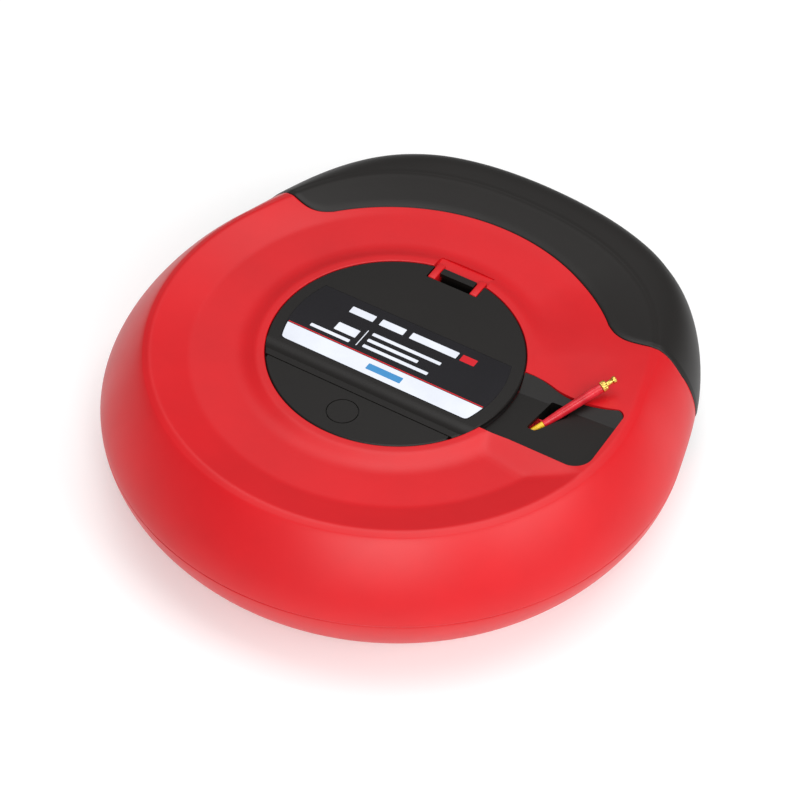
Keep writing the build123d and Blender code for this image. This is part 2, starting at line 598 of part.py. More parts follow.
def make_coil():
    """Turns of the rod lying against each other in the basket's outer corner, as one closed solid."""
    outermost = BASKET_R - BASKET_WALL - ROD_D / 2 - 0.1
    innermost = outermost - (TURN_COLUMNS - 1) * TURN_PITCH
    lowest = HUB_LOW + BASKET_FLOOR + ROD_D / 2 + 0.1
    turns, edge, length = Sketch(), [], 0.0
    for row in range(TURN_ROWS):
        z = lowest + row * TURN_PITCH
        limit = z - HUB_LOW - BASKET_FLOOR + BASKET_R - BASKET_WALL - BASKET_BEVEL - 1.1 * ROD_D
        radii = [outermost - column * TURN_PITCH for column in range(TURN_COLUMNS)]
        radii = [radius for radius in radii if radius < limit]
        edge.append((radii[0] + 0.01 * row, z))
        length += sum(2 * pi * radius for radius in radii)
        for radius in radii:
            turns += Pos(radius, z) * Circle(ROD_D / 2)
    outline = [(innermost - 0.02, lowest - 0.02), *edge, (innermost, edge[-1][1])]
    turns += make_face(Polyline(*outline, close=True))
    print("rod in the coil:", round(length / 1000, 2), "m, innermost turn", round(innermost, 2))
    return revolve(Plane.XZ * turns, axis=Axis.Z)


def make_anchor():
    """The clamp that holds the rod's inner end to the basket's wall, and its screw."""
    wall_in = BASKET_R - BASKET_WALL
    clamp = sector(COVER_IN - 8, COVER_IN - 0.5, HUB_LOW + BASKET_FLOOR, 16, 197, 203)
    clamp -= Pos(*polar(COVER_IN - 4, 200, 16)) * Cylinder(1.2, 30)
    fastener = Pos(*polar(COVER_IN - 4, 200, 16)) * screw(2.4, 1.4, 1.2, 10)
    return clamp, fastener


def place_screws(angles, radius, z, one, flip=False):
    turn = Rot(180, 0, 0) if flip else Rot(0, 0, 0)
    return Compound(children=[Pos(*polar(radius, angle, z)) * turn * one for angle in angles])


def main():
    os.makedirs("parts", exist_ok=True)
    upper_region = grip_region(0.0, GRIP_INNER_R)
    lower_region = grip_region(0.0, GRIP_UNDER_R)
    export(make_top_shell(upper_region), "top_shell")
    export(make_bottom_shell(lower_region), "bottom_shell")
    upper, lower = make_grip()
    export(upper, "grip_upper")
    export(lower, "grip_lower")
    flap, segment, film, label = make_lid()
    export(flap, "lid_flap")
    export(segment, "lid_fixed_segment")
    export(film, "film_hinge")
    export(label, "lid_label")
    export(make_latch(), "lid_latch")
    export(Pos(0, CAP_Y, LID_Z - CAP_T / 2) * Cylinder(CAP_R, CAP_T), "lid_screw_cap")
    export(Pos(0, CAP_Y, 68.9) * screw(2.8, 1.7, 1.25, 12), "lid_screw")
    export(make_tray(), "accessory_tray")
    export(make_plate(), "outlet_plate")
    export(make_guide(), "rod_guide")
    export(make_lead(), "rod_lead")
    export(make_sleeve(), "rod_sleeve")
    export(make_fitting(), "rod_end_fitting")
    bearing = tube(BOSS_OUT, HUB_IN - 0.06, FLOOR_T, BOSS_TOP) + tube(BOSS_OUT, HUB_OUT + 3, FLOOR_T, HUB_LOW - 0.2)
    export(bearing, "bearing_ring")
    export(make_basket(), "reel_basket")
    cover = tube(COVER_IN, BASKET_R, BASKET_TOP, BASKET_TOP + COVER_T)
    export(cover, "reel_cover")
    export(make_coil(), "rod_coil")
    clamp, anchor_screw = make_anchor()
    basket_hole = anchor_screw
    export(clamp, "rod_anchor")
    export(basket_hole, "anchor_screw")
    keeper = tube(BOSS_IN, HUB_OUT + 1.5, BOSS_TOP, BOSS_TOP + 2)
    for angle in (45, 135, 225, 315):
        keeper -= Pos(*polar(54.5, angle, BOSS_TOP)) * Cylinder(1.4, 10)
    export(keeper, "retaining_ring")
    ring_screw = screw(2.2, 1.5, 1.2, 7.5)
    export(place_screws((45, 135, 225, 315), 54.5, BOSS_TOP + 2, ring_screw), "retaining_screws")
    casing_screw = screw(3.3, 2.2, 1.55, 20)
    export(place_screws(CASING_SCREW_ANGLES, CASING_SCREW_AT, 26, casing_screw, flip=True), "casing_screws")
    grip_screw = screw(3.3, 2.2, 1.3, 16)
    export(place_screws(GRIP_SCREW_ANGLES, GRIP_SCREW_AT, 25, grip_screw, flip=True), "grip_screws")


main()
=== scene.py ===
"""Looks of the fish tape reel: smooth mouldings, rod, printed label, studio."""

import json
import math

import bmesh
import bpy
import numpy as np
from mathutils import Matrix, Vector

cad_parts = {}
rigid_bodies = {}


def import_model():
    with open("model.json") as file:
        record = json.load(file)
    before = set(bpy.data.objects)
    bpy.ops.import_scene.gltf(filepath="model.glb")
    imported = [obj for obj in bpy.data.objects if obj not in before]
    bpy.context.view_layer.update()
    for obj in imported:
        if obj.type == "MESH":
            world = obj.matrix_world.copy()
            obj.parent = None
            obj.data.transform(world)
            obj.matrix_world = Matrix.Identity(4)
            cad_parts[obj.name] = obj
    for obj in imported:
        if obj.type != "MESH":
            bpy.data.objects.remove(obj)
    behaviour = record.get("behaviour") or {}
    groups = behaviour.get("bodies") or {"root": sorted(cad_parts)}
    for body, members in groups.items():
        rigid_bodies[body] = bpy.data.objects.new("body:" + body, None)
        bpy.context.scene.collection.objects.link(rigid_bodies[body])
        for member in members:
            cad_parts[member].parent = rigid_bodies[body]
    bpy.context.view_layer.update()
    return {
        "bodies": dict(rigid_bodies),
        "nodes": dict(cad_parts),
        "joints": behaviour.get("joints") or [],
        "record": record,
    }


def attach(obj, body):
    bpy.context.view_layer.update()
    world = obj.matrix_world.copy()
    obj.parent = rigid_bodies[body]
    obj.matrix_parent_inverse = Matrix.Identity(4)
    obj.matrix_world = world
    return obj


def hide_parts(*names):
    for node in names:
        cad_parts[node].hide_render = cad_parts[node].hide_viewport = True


MM = 0.001
LID_Z = 72.0
PARTING = 39.0
THICK = 2.6
EDGE = 0.6  # how round the mouldings' edges are
BODY_R = 142.9
BULGE, BULGE_AT = 12.8, 86.3  # how far the grip's shoulders stand out, and the angle of their middle
BULGE_HALF, BULGE_RUN = 73.2, 40.7  # degrees from its middle to its start, and over which it rises
DIP, DIP_HALF = 3.5, 30  # the grip's middle is flatter, for the palm
BLEND_HALF, BLEND_RUN = 76.2, 53.5  # the same two angles for the change of section
POCKET_LOW, POCKET_TOP, POCKET_HALF = 41.0, 67.5, 37.6  # the finger pocket's heights and half angle
POCKET_WALL = 2.0
ARM_LOW, ARM_END, ARM_HIGH = -22.3, 47.2, 20.0  # the outlet plate's edges, in the arm's frame


def smooth(t):
    t = min(max(t, 0.0), 1.0)
    return t * t * (3 - 2 * t)


def mix(a, b, share):
    return a + (b - a) * share


# ---------------------------------------------------------------- casing surface (mm)


def from_bulge(angle):
    return abs((angle - BULGE_AT + 180) % 360 - 180)


def reach_at(angle):
    """How far the casing stands out beyond its round part at this angle."""
    off = from_bulge(angle)
    return BULGE * smooth((BULGE_HALF - off) / BULGE_RUN) - DIP * smooth(1 - off / DIP_HALF)


def blend_at(angle):
    """How far the section has changed to the grip's: 0 where the casing is round, 1 behind the grip."""
    return smooth((BLEND_HALF - from_bulge(angle)) / BLEND_RUN)


def dome_at(angle, full):
    """The dome's control points (radius, height) from its crest to the parting line."""
    radius = BODY_R + reach_at(angle)
    r, z = 120.1 + 0.8 * reach_at(angle), mix(74.8, 72.12, full)
    return [
        (r, z),
        (r + mix(2.5, 13.7, full), z - mix(0.12, 0.6, full)),
        (radius, PARTING + mix(10.8, 37.7, full)),
        (radius, PARTING),
    ]


def bridge_at(angle):
    angle = (angle + 180) % 360 - 180
    return smooth((62 - angle) / 34) if 0 < angle < 90 else 0.0


def bridge_z(radius):
    return LID_Z + (radius - 67.0) * 3.9 / 50.4


def bezier(points, t):
    k = 1 - t
    weights = (k**3, 3 * k * k * t, 3 * k * t * t, t**3)
    return tuple(sum(w * p[i] for w, p in zip(weights, points)) for i in (0, 1))


def rounded(corners, radii, steps=5):
    """The corners with each inner one rounded into a short curve; always the same count of points."""
    points = [corners[0]]
    for before, here, after, size in zip(corners, corners[1:], corners[2:], radii):
        a = Vector(before) - Vector(here)
        b = Vector(after) - Vector(here)
        start = Vector(here) + a.normalized() * min(size, 0.45 * a.length)
        end = Vector(here) + b.normalized() * min(size, 0.45 * b.length)
        for i in range(steps + 1):
            t = i / steps
            points.append(tuple((1 - t) ** 2 * start + 2 * t * (1 - t) * Vector(here) + t * t * end))
    return points + [corners[-1]]


def resample(points, counts):
    """Splits each stretch between consecutive points into the given count of pieces."""
    out = []
    for (a, b), n in zip(zip(points, points[1:]), counts):
        out += [(mix(a[0], b[0], i / n), mix(a[1], b[1], i / n)) for i in range(n)]
    return out + [points[-1]]


def inset(curve, depth):
    (r0, z0), (r1, z1), (r2, z2), (r3, z3) = curve
    return [
        (r0 - 0.5 * depth, z0 - depth),
        (r1 - 0.3 * depth, z1 - depth),
        (r2 - depth, z2 - 0.3 * depth),
        (r3 - depth, z3),
    ]


ROUND = [1] * 5
TOP_COUNTS = [5, *ROUND, 3, *ROUND, 4, *ROUND, 18, *ROUND, 14, *ROUND, 1, *ROUND, 1]


def top_column(angle):
    """Outer and inner section of the top skin, from the skirt inside the collar to the parting line."""
    full, bridge = blend_at(angle), bridge_at(angle)
    shift = 0.8 * reach_at(angle)
    dome = dome_at(angle, full)
    corners = [
        (62.85, 60.0),
        (62.85, LID_Z),
        (67.0, LID_Z),
        (74.4, mix(69.2, bridge_z(74.4), bridge)),
        (98.9, mix(70.3, bridge_z(98.9), bridge)),
        (117.4 + shift, mix(75.9, 72.2, full)),
        dome[0],
    ]
    inner = [(65.4, 60.0), (65.4, LID_Z - THICK), (67.5, LID_Z - THICK)]
    inner += [(r - 0.2, z - THICK) for r, z in corners[3:6]]
    inner_dome = inset(dome, THICK)
    inner.append(inner_dome[0])
    outer = resample(rounded([*corners, bezier(dome, 0.06)], (0.5, 1.2, 4.0, 1.6, 1.4, 1.0)), TOP_COUNTS)
    inner = resample(rounded([*inner, bezier(inner_dome, 0.06)], (0,) * 6), TOP_COUNTS)
    for pts, curve in ((outer, dome), (inner, inner_dome)):
        pts += [bezier(curve, 0.06 + 0.94 * i / 48) for i in range(1, 49)]
    return np.array(outer), np.array(inner)


def bottom_column(angle):
    full = blend_at(angle)
    radius, foot = BODY_R + reach_at(angle), 111.7 + 6 * full
    curve = [
        (radius, PARTING),
        (radius, PARTING - 14.56 - 4 * full),
        (foot + 12.89 + 3 * full, 0.02),
        (foot, 0.02),
    ]
    (r0, z0), (r1, z1), (r2, z2), (r3, z3) = curve
    inner = [(r0 - THICK, z0), (r1 - THICK, z1 + 0.8), (r2 - 0.8, z2 + THICK), (r3 - 1.3, z3 + THICK)]
    outer = [bezier(curve, i / 44) for i in range(45)] + [(94.5, 0.02), (94.0, 0.8), (40.0, 0.8), (1.0, 0.8)]
    inner = [bezier(inner, i / 44) for i in range(45)]
    inner += [(94.5, 2.55), (94.0, 2.55), (40.0, 2.55), (1.0, 2.55)]
    return np.array(outer), np.array(inner)


# ---------------------------------------------------------------- grip boundary (mm, plan)

GRIP_END_Y = 66.4
START = math.degrees(math.atan2(68.6, 78.9))


def catmull_at(a, b, c, d, t):
    square = 2 * a - 5 * b + 4 * c - d
    return 0.5 * (2 * b + (c - a) * t + square * t * t + (3 * b - a - 3 * c + d) * t**3)


def catmull(points, steps):
    """A smooth curve through the points, in the given count of steps between each two."""
    out = []
    padded = [points[0], *points, points[-1]]
    for p0, p1, p2, p3 in zip(padded, padded[1:], padded[2:], padded[3:]):
        for i in range(steps):
            t = i / steps
            out.append(tuple(catmull_at(*values, t) for values in zip(p0, p1, p2, p3)))
    return out + [points[-1]]


def grip_boundary(inner):
    """Right half of the boundary, from beyond the outer wall in to the middle of the inner arc."""
    if inner > 120:
        x = math.sqrt(inner**2 - GRIP_END_Y**2)
        start = math.degrees(math.atan2(GRIP_END_Y, x))
        line = [(160.0, GRIP_END_Y), (x, GRIP_END_Y)]
    else:
        start = START
        lip = [(107.0, GRIP_END_Y), (98.5, 64.2), (90.5, 63.2), (84.2, 64.9)]
        lip.append((inner * math.cos(math.radians(start)), inner * math.sin(math.radians(start))))
        line = [(160.0, GRIP_END_Y), (120.0, GRIP_END_Y)] + catmull(lip, 8)
    arc = [start + (90 - start) * i / 90 for i in range(1, 91)]
    arc = [(inner * math.cos(math.radians(a)), inner * math.sin(math.radians(a))) for a in arc]
    return np.array(line + arc)


def begin_radius(boundary, angle):
    """The radius at which the grip begins at this angle, or a large number where there is no grip."""
    angle = (angle + 90) % 360 - 90
    mirrored = angle if angle <= 90 else 180 - angle
    angles = np.degrees(np.arctan2(boundary[:, 1], boundary[:, 0]))
    if mirrored < angles[0]:
        return 1e3
    return float(np.interp(mirrored, angles, np.hypot(boundary[:, 0], boundary[:, 1])))


def distances(boundary, x, y):
    """Plan distance of each point from the boundary, whose other half is its mirror image."""
    p = np.stack([np.abs(x), y], -1)[:, None, :]
    a, b = boundary[:-1][None], boundary[1:][None]
    d = b - a
    t = np.clip(((p - a) * d).sum(-1) / np.maximum((d * d).sum(-1), 1e-12), 0, 1)
    return np.sqrt((((p - a - t[..., None] * d) ** 2).sum(-1))).min(1)


# ---------------------------------------------------------------- mesh helpers


def new_object(name, bm, material, body, smooth_angle=40):
    mesh = bpy.data.meshes.new(name)
    bmesh.ops.recalc_face_normals(bm, faces=bm.faces)
    bm.to_mesh(mesh)
    bm.free()
    o = bpy.data.objects.new(name, mesh)
    bpy.context.scene.collection.objects.link(o)
    shade(o, smooth_angle)
    o.data.materials.append(material)
    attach(o, body)
    return o


def shade(o, smooth_angle=40):
    for polygon in o.data.polygons:
        polygon.use_smooth = True
    o.data.set_sharp_from_angle(angle=math.radians(smooth_angle))


def grid(bm, rows):
    """Quads between neighbouring rows of vertices, leaving out the ones with no area."""
    for a, b in zip(rows, rows[1:]):
        for i in range(len(a) - 1):
            quad = list(dict.fromkeys((a[i], a[i + 1], b[i + 1], b[i])))
            if len(quad) > 2:
                bm.faces.new(quad)


def boolean(o, cutter, operation="DIFFERENCE"):
    """Applies a boolean and removes the cutter."""
    modifier = o.modifiers.new("cut", "BOOLEAN")
    modifier.operation = operation
    modifier.object = cutter
    modifier.solver = "EXACT"
    depsgraph = bpy.context.evaluated_depsgraph_get()
    mesh = bpy.data.meshes.new_from_object(o.evaluated_get(depsgraph))
    o.modifiers.clear()
    o.data = mesh
    bpy.data.objects.remove(cutter)


def loose(bm, name="cutter"):
    """A scratch object for booleans."""
    bmesh.ops.recalc_face_normals(bm, faces=bm.faces)
    mesh = bpy.data.meshes.new(name)
    bm.to_mesh(mesh)
    bm.free()
    o = bpy.data.objects.new(name, mesh)
    bpy.context.scene.collection.objects.link(o)
    return o


ENDS = np.array((0.9, 0.62, 0.4, 0.24, 0.12, 0.04, 0.0))


def island(x, y, r, z):
    """Raises the valley to the bridge beside the outlet arm, with its slope on the -Y side."""
    bridge = LID_Z + (r - 67.0) * 3.9 / 50.4
    slope = LID_Z + 0.1 + 0.0985 * (x - 67) + 0.3067 * (y + 23)
    soft = 0.25
    low = np.minimum(bridge, slope) - soft * np.exp(-np.abs(bridge - slope) / soft / 2)
    blend = soft * np.exp(-np.abs(z - low) / soft / 2)
    raised = np.maximum(z, low) + blend * (low > z - 1) * (low < bridge - 0.05)
    near = (x > 40) & (y < 20) & (r > 67.05) & (r < 117.3) & (low > z - 1)
    return np.where(near, np.minimum(raised, np.maximum(bridge, z)), z)


def skin(column_at, angles, boundary, side, proud=0.0):
    """A closed shell with rounded edges, on the casing's or the grip's side of the boundary."""
    top = column_at is top_column
    closed = side == "casing"
    columns, points, inners, lengths = [], [], [], []
    for angle in angles:
        outer, inner = column_at(angle)
        index = np.arange(len(outer), dtype=float)
        limit = begin_radius(boundary, angle)
        length = np.concatenate([[0], np.cumsum(np.hypot(*np.diff(outer, axis=0).T))])
        total = length[-1]
        if top:
            reached = np.maximum.accumulate(outer[:, 0]) + index * 1e-7
            cut = float(np.interp(limit, reached, length)) if limit < 1e3 else total
        else:
            reached = -outer[:, 0] + index * 1e-7
            cut = float(np.interp(-limit, reached, length)) if limit < outer[0, 0] else 0.0
        start, end = (0.0, cut) if top == (side == "casing") else (cut, total)
        if side == "grip" and end - start < 0.02:
            continue
        scale = min(1.0, (end - start) / 2 / ENDS[0])
        low, high = start + ENDS[0] * scale, end - ENDS[0] * scale
        keep = np.concatenate([start + ENDS[::-1] * scale, np.clip(length, low, high), end - ENDS * scale])
        at = np.interp(keep, length, index)
        columns.append(angle)
        points.append(np.stack([np.interp(at, index, outer[:, i]) for i in (0, 1)], -1))
        inners.append(np.stack([np.interp(at, index, inner[:, i]) for i in (0, 1)], -1))
        lengths.append(total - keep if top else keep)
    o, n, parting = np.array(points), np.array(inners), np.array(lengths)
    c = np.cos(np.radians(columns))[:, None]
    s = np.sin(np.radians(columns))[:, None]
    near = distances(boundary, (o[..., 0] * c).ravel(), (o[..., 0] * s).ravel()).reshape(parting.shape)
    if side == "casing" and top:
        o[..., 1] = island(o[..., 0] * c, o[..., 0] * s, o[..., 0], o[..., 1])
    into = n - o
    into /= np.linalg.norm(into, axis=-1, keepdims=True)
    edge = np.minimum(EDGE, np.minimum(near, parting))
    lowered = EDGE - np.sqrt(np.maximum(EDGE**2 - (EDGE - edge) ** 2, 0))
    lift = proud * np.clip(near / 2.5, 0, 1) if proud else 0.0
    o = o + into * (lowered - lift)[..., None]
    bm = bmesh.new()
    layers = []
    for skin_points in (o, n):
        rows = []
        for i in range(len(columns)):
            row, last = [], None
            for j in range(skin_points.shape[1]):
                r, z = skin_points[i, j]
                place = Vector((r * c[i, 0] * MM, r * s[i, 0] * MM, z * MM))
                if last is None or (place - last).length > 1e-6:
                    row.append(bm.verts.new(place))
                    last = place
                else:
                    row.append(row[-1])
            rows.append(row)
        layers.append(rows + [rows[0]] if closed else rows)
    outside, inside = layers
    grid(bm, outside)
    grid(bm, inside)
    grid(bm, [[row[0] for row in outside], [row[0] for row in inside]])
    grid(bm, [[row[-1] for row in outside], [row[-1] for row in inside]])
    if not closed:
        grid(bm, [outside[0], inside[0]])
        grid(bm, [outside[-1], inside[-1]])
    return bm


def spread(*stretches):
    """Angles from (start, stop, step) stretches, without repeats."""
    out = []
    for start, stop, step in stretches:
        count = round((stop - start) / step)
        out += [start + (stop - start) * i / count for i in range(count)]
    return out


def stadium(offset, points=16):
    """Outline of the finger pocket in (degrees from +Y, z), grown by offset mm."""
    low, top = POCKET_LOW - offset, POCKET_TOP + offset
    half = (top - low) / 2
    reach = POCKET_HALF - math.degrees((POCKET_TOP - POCKET_LOW) / 2 / 142.95)
    turn = math.degrees(half / 148.0)
    out = []
    for side in (1, -1):
        for i in range(points + 1):
            a = math.pi / 2 - math.pi * i / points
            out.append((side * (reach + turn * math.cos(a)), (low + top) / 2 + side * half * math.sin(a)))
        out += [(side * reach * (1 - 2 * i / 24), (low + top) / 2 - side * half) for i in range(1, 24)]
    return out


def dome_radius(angle, z, depth):
    """Radius of the top skin at this height, depth mm into the material."""
    dome = dome_at(angle, blend_at(angle))
    curve = np.array([bezier(inset(dome, depth), i / 60) for i in range(61)])
    return float(np.interp(-z, -curve[:, 1], curve[:, 0]))


def ring_at(bm, outline, radius_at):
    row = []
    for a, z in outline:
        r, turn = radius_at(90 + a, z), math.radians(90 + a)
        row.append(bm.verts.new((r * math.cos(turn) * MM, r * math.sin(turn) * MM, z * MM)))
    return row + [row[0]]


def close_outline(bm, ring, flip=False, points=16):
    """Closes a pocket outline with upright strips, so that the face follows the casing's curve."""
    loop = ring[:-1]
    count = len(loop)
    for j in range(points // 2, points // 2 + count // 2):
        corners = [loop[k % count] for k in (j, j + 1, points - j - 1, points - j)]
        corners = list(dict.fromkeys(corners))
        bm.faces.new(corners[::-1] if flip else corners)


def pocket_cutter():
    bm = bmesh.new()
    outline = stadium(0)
    back = ring_at(bm, outline, lambda a, z: 134.0)
    front = ring_at(bm, outline, lambda a, z: 175.0)
    grid(bm, [back, front])
    close_outline(bm, back)
    close_outline(bm, front, flip=True)
    return loose(bm, "pocket_cutter")


def pocket_liner(bm):
    """The moulded tub behind the finger opening, with a rounded rim."""
    inner, outer = stadium(0), stadium(POCKET_WALL)
    rows = [ring_at(bm, inner, lambda a, z, d=d: dome_radius(a, z, d)) for d in (0.9, 1.4, 2.5)]
    rounding = ((0, 136.0), (0.4, 134.6), (1.4, 134.0))
    back = [ring_at(bm, stadium(-k), lambda a, z, r=r: r) for k, r in rounding]
    outside_back = ring_at(bm, outer, lambda a, z: 132.0)
    outside_front = ring_at(bm, outer, lambda a, z: dome_radius(a, min(z, 67.8), 2.2))
    grid(bm, rows + back)
    close_outline(bm, back[-1])
    grid(bm, [rows[0], outside_front, outside_back])
    close_outline(bm, outside_back, flip=True)


def prism(outline, low, high, frame=None, name="prism"):
    """A straight-sided solid from a plan outline, in an optional tilted frame."""
    bm = bmesh.new()
    place = frame or Matrix.Identity(4)
    rings = []
    for z in (low, high):
        rings.append([bm.verts.new(place @ Vector((x * MM, y * MM, z * MM))) for x, y in outline])
    grid(bm, [ring + [ring[0]] for ring in rings])
    bm.faces.new(rings[0][::-1])
    bm.faces.new(rings[1])
    return bm


ARM_ANGLE = math.atan2(3.9, 50.4)
ARM = Matrix.Translation(Vector((67.0, 0, LID_Z)) * MM) @ Matrix.Rotation(-ARM_ANGLE, 4, "Y")


def through(a, b, c, steps):
    """Points on the arc from a through b to c."""
    d = 2 * (a[0] * (b[1] - c[1]) + b[0] * (c[1] - a[1]) + c[0] * (a[1] - b[1]))
    squares = [p[0] ** 2 + p[1] ** 2 for p in (a, b, c)]
    x = (squares[0] * (b[1] - c[1]) + squares[1] * (c[1] - a[1]) + squares[2] * (a[1] - b[1])) / d
    y = (squares[0] * (c[0] - b[0]) + squares[1] * (a[0] - c[0]) + squares[2] * (b[0] - a[0])) / d
    r = math.hypot(a[0] - x, a[1] - y)
    first, last = (math.atan2(p[1] - y, p[0] - x) for p in (a, c))
    turn = (last - first) % (2 * math.pi)
    angles = [first + turn * i / steps for i in range(steps + 1)]
    return [(x + r * math.cos(angle), y + r * math.sin(angle)) for angle in angles]


def arm_outline(grow=0.0):
    """The outlet plate's outline in the arm frame, moved outwards by grow."""
    low, end, high = ARM_LOW - grow, ARM_END + grow, ARM_HIGH + grow
    out = [(-12, high + 0.3), (-12, low), (8, low)]
    out += through((end - 9, low - 1.7), (end - 2.4, low + 1.2), (end, low + 8), 10)
    out += through((end, high - 5.6), (end - 1.3, high - 2.6), (end - 4.4, high - 1.2), 8)
    wave = [(end - 4.4, high - 1.2), (36, high - 3.2), (26, high - 4.6)]
    wave += [(14, high - 3.6), (5, high - 1.0), (-3, high + 0.3)]
    return out + catmull(wave, 6)[1:]


# ---------------------------------------------------------------- materials


def linear(rgb):
    """Linear colour from display values of 0 to 255."""
    values = [c / 255 for c in rgb]
    return (*(((v + 0.055) / 1.055) ** 2.4 if v > 0.04045 else v / 12.92 for v in values), 1.0)


class Nodes:
    """A node material built step by step."""

    def __init__(self, name, rgb, roughness, **sockets):
        self.material = bpy.data.materials.new(name)
        self.material.use_nodes = True
        self.tree = self.material.node_tree
        self.shader = self.tree.nodes["Principled BSDF"]
        self.shader.inputs["Base Color"].default_value = linear(rgb)
        self.shader.inputs["Roughness"].default_value = roughness
        for key, value in sockets.items():
            self.shader.inputs[key.replace("_", " ")].default_value = value

    def add(self, kind, **settings):
        node = self.tree.nodes.new(kind)
        for key, value in settings.items():
            if hasattr(node, key):
                setattr(node, key, value)
            else:
                node.inputs[key.replace("_", " ")].default_value = value
        return node

    def link(self, a, b):
        self.tree.links.new(a, b)

    def place(self):
        return self.add("ShaderNodeTexCoord").outputs["Object"]

    def noise(self, scale, detail=2.0, roughness=0.5):
        node = self.add("ShaderNodeTexNoise", Scale=scale, Detail=detail, Roughness=roughness)
        self.link(self.place(), node.inputs["Vector"])
        return node.outputs["Fac"]

    def spread(self, value, low, high, start=0.0, stop=1.0):
        node = self.add("ShaderNodeMapRange")
        for key, v in (("From Min", low), ("From Max", high), ("To Min", start), ("To Max", stop)):
            node.inputs[key].default_value = v
        self.link(value, node.inputs["Value"])
        return node.outputs["Result"]

    def bump(self, height, strength, distance):
        node = self.add("ShaderNodeBump", Strength=strength, Distance=distance)
        self.link(height, node.inputs["Height"])
        last = self.shader.inputs["Normal"].links
        if last:
            self.link(last[0].from_socket, node.inputs["Normal"])
        self.link(node.outputs["Normal"], self.shader.inputs["Normal"])
        return self

    def tint(self, value, dark, light):
        node = self.add("ShaderNodeMix", data_type="RGBA")
        node.inputs["A"].default_value = linear(dark)
        node.inputs["B"].default_value = linear(light)
        self.link(value, node.inputs["Factor"])
        self.link(node.outputs["Result"], self.shader.inputs["Base Color"])
        return self


def moulded(name, rgb, roughness, grain=2600.0, strength=0.16, **sockets):
    """Textured moulded plastic: fine grain, and slow changes of gloss from handling."""
    m = Nodes(name, rgb, roughness, **sockets)
    m.bump(m.noise(grain, 3.0, 0.6), strength, 0.00006)
    m.bump(m.noise(60.0, 2.0), 0.03, 0.0004)
    gloss = m.spread(m.noise(22.0, 4.0, 0.6), 0.3, 0.7, roughness - 0.03, roughness + 0.04)
    m.link(gloss, m.shader.inputs["Roughness"])
    dark = tuple(max(0, c * 0.965 - 1) for c in rgb)
    light = tuple(min(255, c * 1.02 + 1) for c in rgb)
    m.tint(m.spread(m.noise(14.0, 5.0, 0.6), 0.3, 0.7), dark, light)
    return m.material


def metal(name, rgb, roughness, scale=900.0):
    m = Nodes(name, rgb, roughness, Metallic=1.0)
    m.bump(m.noise(scale, 2.0), 0.12, 0.00003)
    gloss = m.spread(m.noise(140.0, 3.0), 0.3, 0.7, roughness - 0.06, roughness + 0.08)
    m.link(gloss, m.shader.inputs["Roughness"])
    return m.material


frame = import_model()
nodes = frame["nodes"]

red = moulded("red_plastic", (206, 16, 25), 0.4, 2400.0, 0.2, Specular_IOR_Level=0.42)
grip_black = moulded("grip_black", (22, 19, 17), 0.5, 2000.0, 0.22, Specular_IOR_Level=0.36)
plate_black = moulded("plate_black", (18, 15, 13), 0.48, 2600.0, 0.2, Specular_IOR_Level=0.32)
inner_black = moulded("inner_black", (38, 38, 38), 0.5, 900.0, 0.08)
bearing_white = moulded("bearing_plastic", (222, 218, 206), 0.32, 700.0, 0.03)
brass = metal("brass", (226, 186, 96), 0.24)
steel = metal("zinc_steel", (176, 178, 182), 0.34)


def rod_material():
    """Glass fibre under a yellow coat, with long faint strands along it."""
    m = Nodes("rod_yellow", (236, 196, 30), 0.26)
    m.bump(m.noise(1500.0, 2.0), 0.05, 0.00004)
    m.tint(m.spread(m.noise(90.0, 4.0), 0.3, 0.7), (224, 178, 20), (244, 208, 52))
    return m.material


def sleeve_material():
    m = Nodes("sleeve_red", (206, 24, 40), 0.3)
    m.bump(m.noise(420.0, 2.0), 0.10, 0.00008)
    m.tint(m.spread(m.noise(180.0, 3.0), 0.3, 0.7), (190, 16, 32), (222, 38, 52))
    return m.material


rod_yellow = rod_material()
sleeve_red = sleeve_material()

FINISH = {
    "rod_guide": inner_black,
    "accessory_tray": inner_black,
    "reel_basket": inner_black,
    "reel_cover": inner_black,
    "rod_anchor": inner_black,
    "film_hinge": plate_black,
    "lid_fixed_segment": plate_black,
    "lid_screw_cap": plate_black,
    "lid_flap": plate_black,
    "lid_latch": plate_black,
    "outlet_plate": plate_black,
    "grip_upper": grip_black,
    "grip_lower": grip_black,
    "top_shell": red,
    "bottom_shell": red,
    "bearing_ring": bearing_white,
    "retaining_ring": steel,
    "retaining_screws": steel,
    "casing_screws": steel,
    "grip_screws": steel,
    "lid_screw": steel,
    "anchor_screw": steel,
    "rod_coil": rod_yellow,
    "rod_lead": rod_yellow,
    "rod_sleeve": sleeve_red,
    "rod_end_fitting": brass,
}
for name, material in FINISH.items():
    nodes[name].data.materials.clear()
    nodes[name].data.materials.append(material)

# ---------------------------------------------------------------- mouldings

upper = grip_boundary(104.6)
lower = grip_boundary(126.0)
upper_grip = grip_boundary(104.9)
upper_grip[:, 1] = np.where(upper_grip[:, 0] > 80, upper_grip[:, 1] + 0.3, upper_grip[:, 1])
lower_grip = grip_boundary(126.3)

